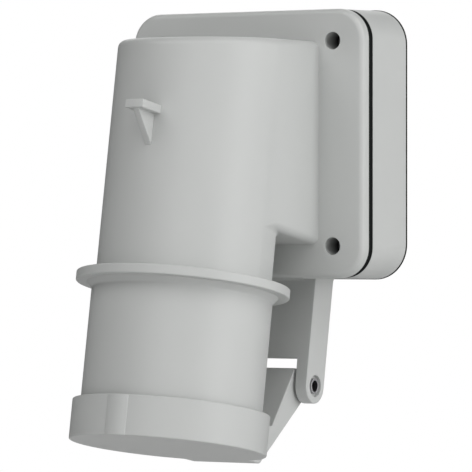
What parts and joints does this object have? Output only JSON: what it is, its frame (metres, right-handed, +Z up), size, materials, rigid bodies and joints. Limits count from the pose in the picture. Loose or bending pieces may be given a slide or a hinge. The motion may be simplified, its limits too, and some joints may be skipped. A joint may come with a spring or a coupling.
{
  "type": "generator inlet box",
  "caption": "Wall-mounted power inlet: square box, front housing with a forward-tilted round shroud and contact pins, and a sprung hinged lid.",
  "frame": {"origin": "centre of the back face, on the wall", "axes": "+Z up, -Y out of the wall towards the front, +X to the right as seen from the front"},
  "size_m": [0.1078, 0.132, 0.18],
  "materials": {
    "housing": "light grey moulded plastic, fine satin texture",
    "gasket": "black sealing sheet, matt",
    "rubber": "black moulded rubber, matt",
    "insert": "dark grey glass-filled plastic",
    "contact": "nickel-plated turned brass",
    "fastener": "zinc-plated steel",
    "hinge_steel": "rolled stainless steel",
    "spring_steel": "drawn spring wire"
  },
  "bodies": {
    "box": {"back_box": "housing", "wall_gasket": "gasket", "cover_gasket": "gasket", "cable_grommet": "rubber", "front_housing": "housing", "cover_screw_1": "fastener", "cover_screw_2": "fastener", "cover_screw_3": "fastener", "cover_screw_4": "fastener", "inlet_shroud": "housing", "shroud_seal": "rubber", "contact_carrier": "insert", "terminal_holder": "insert", "earth_pin": "contact", "line_pin_1": "contact", "line_pin_2": "contact", "line_pin_3": "contact", "neutral_pin": "contact", "terminal_screw_1": "fastener", "terminal_screw_2": "fastener", "terminal_screw_3": "fastener", "terminal_screw_4": "fastener", "terminal_screw_5": "fastener", "carrier_screw_1": "fastener", "carrier_screw_2": "fastener", "carrier_screw_3": "fastener", "carrier_screw_4": "fastener", "hinge_pin": "hinge_steel", "lid_spring": "spring_steel"},
    "lid": {"lid": "housing", "lid_seal": "rubber"}
  },
  "joints": [
    {"name": "lid_hinge", "type": "hinge", "parent": "box", "child": "lid", "pos_m": [0, -0.01741, -0.09644], "axis": [1, 0, 0], "range_deg": [0, 70], "stiffness_Nm_per_rad": 0.08, "springref_deg": -91.67, "deforming": ["lid_spring"]}
  ]
}
